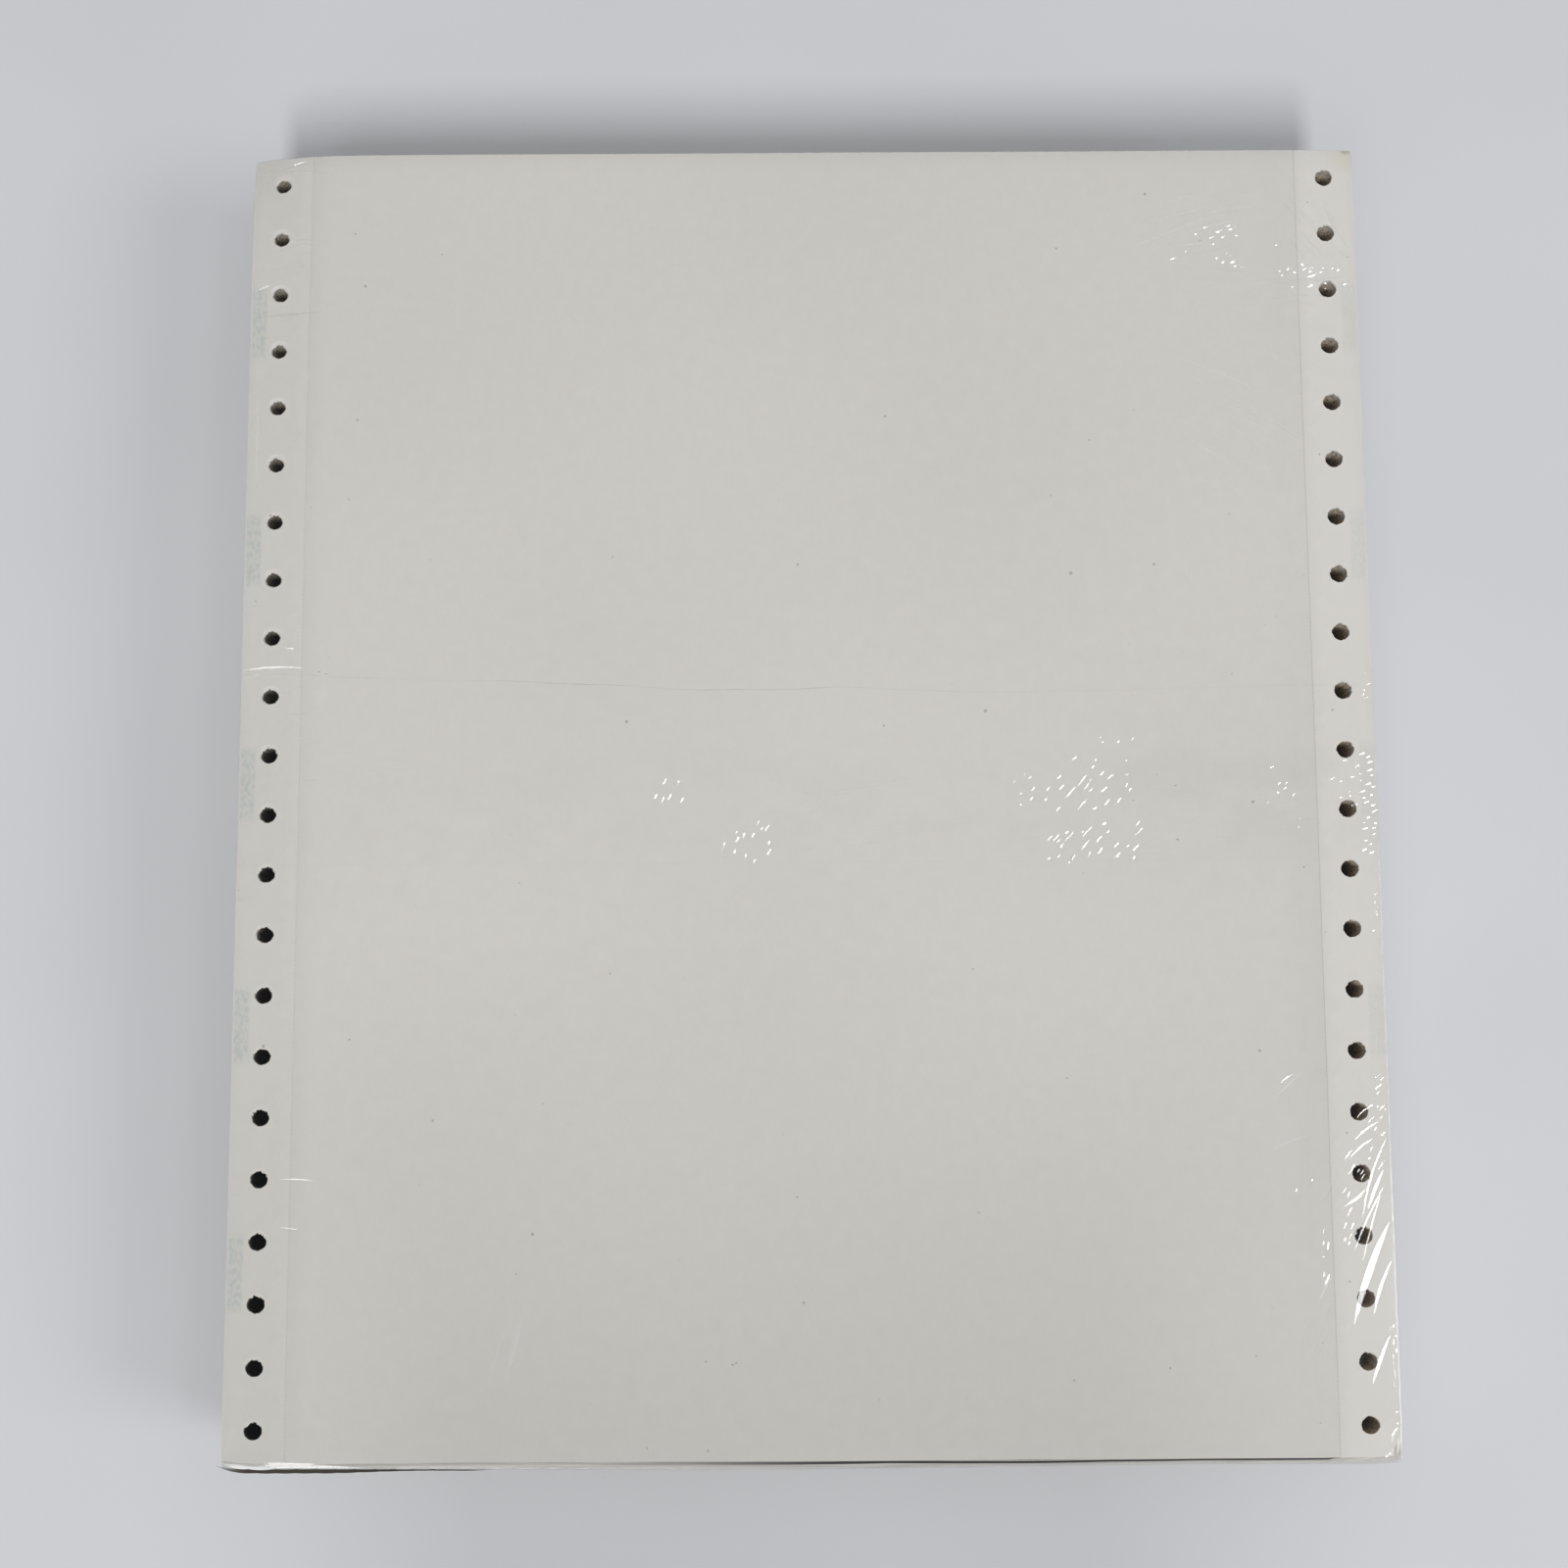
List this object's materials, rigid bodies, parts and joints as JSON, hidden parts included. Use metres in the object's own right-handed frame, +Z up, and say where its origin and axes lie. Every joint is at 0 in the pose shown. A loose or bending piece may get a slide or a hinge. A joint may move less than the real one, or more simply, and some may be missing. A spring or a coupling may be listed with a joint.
{
  "type": "fanfold computer paper pack",
  "caption": "Clear film-wrapped pack of blank continuous fanfold computer paper, with punched feed-hole margins, tear lines and a rounded fold at the end of every form.",
  "frame": {"origin": "middle of the film's bottom face, on the surface that the pack lies on", "axes": "+Z up through the stack, +Y from the front folds to the back folds, +X across the forms to the right"},
  "size_m": [0.2414, 0.2796, 0.0461],
  "materials": {
    "paper": "matte uncoated white paper",
    "film": "clear glossy shrink film"
  },
  "bodies": {
    "root": {"paper_stack": "paper", "shrink_film": "film"}
  },
  "joints": []
}
